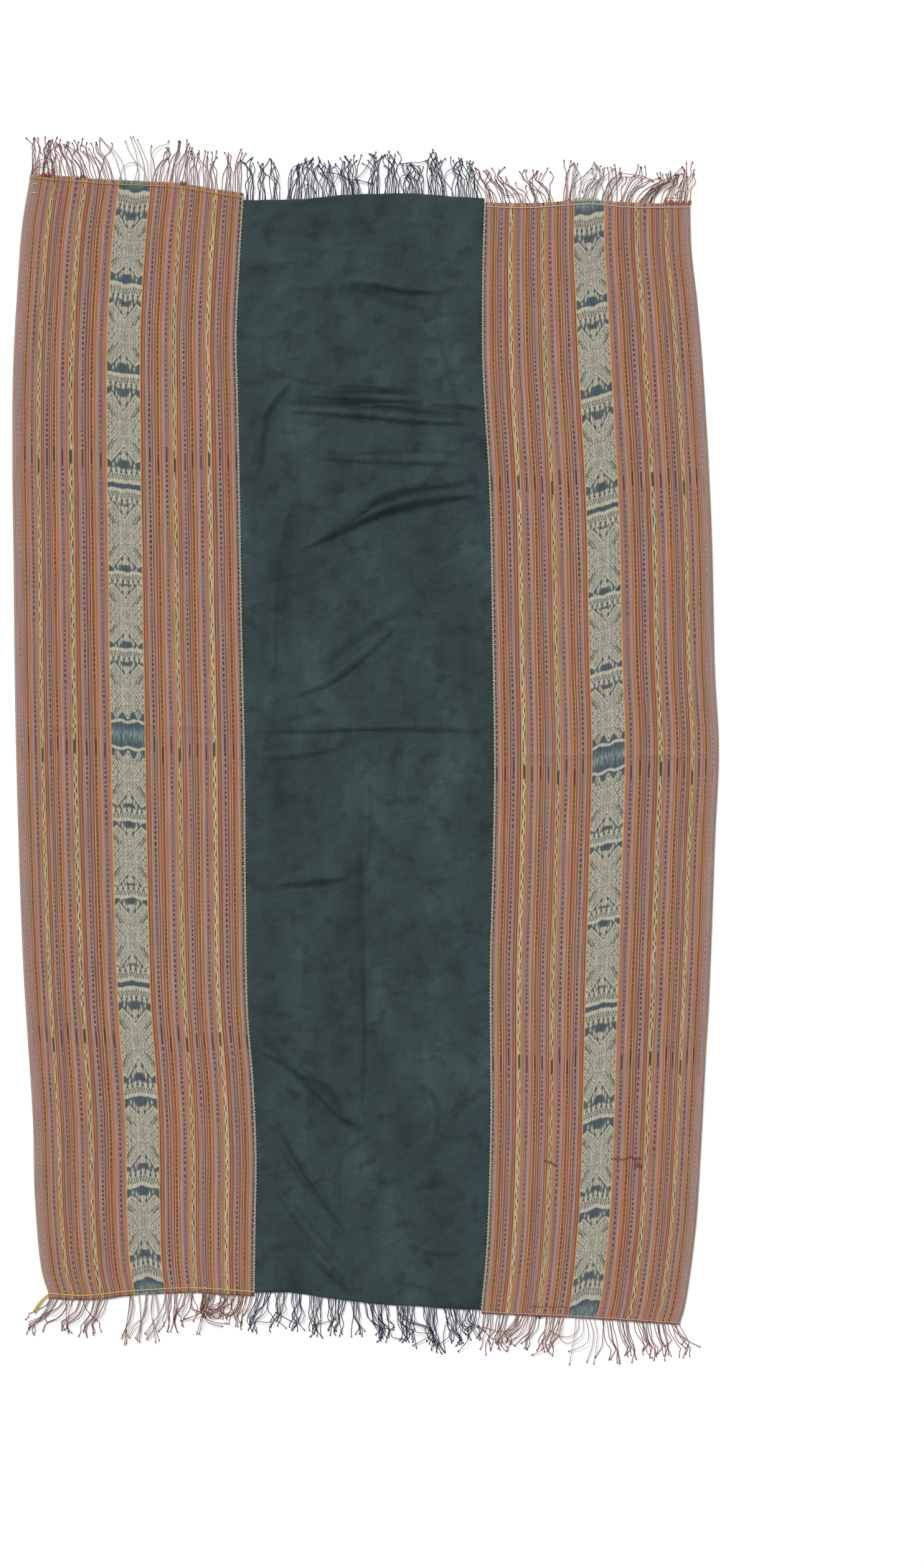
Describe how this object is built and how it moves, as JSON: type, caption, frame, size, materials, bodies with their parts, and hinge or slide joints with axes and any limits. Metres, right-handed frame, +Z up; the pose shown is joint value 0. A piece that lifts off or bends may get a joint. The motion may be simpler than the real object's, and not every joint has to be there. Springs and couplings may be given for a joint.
{
  "type": "ikat woven cloth",
  "caption": "Flat three-panel ikat cloth: two striped side panels with a patterned warp band, a plain dark middle panel, whip-stitched seams and knotted fringes at both ends.",
  "frame": {"origin": "on the surface that the cloth lies on, under the middle of its outline", "axes": "+X across the cloth from the left panel to the right one, +Y along the warp towards the upper fringe, +Z up out of the cloth"},
  "size_m": [1.1341, 1.9921, 0.0074],
  "materials": {
    "striped_cotton": "matt",
    "indigo_cotton": "matt",
    "striped_cord": "matt",
    "indigo_cord": "matt",
    "yellow_thread": "matt"
  },
  "bodies": {
    "root": {"left_panel": "striped_cotton", "centre_panel": "indigo_cotton", "right_panel": "striped_cotton", "left_fringe_top": "striped_cord", "left_fringe_bottom": "striped_cord", "centre_fringe_top": "indigo_cord", "centre_fringe_bottom": "indigo_cord", "right_fringe_top": "striped_cord", "right_fringe_bottom": "striped_cord", "yellow_thread_tail": "yellow_thread"}
  },
  "joints": []
}
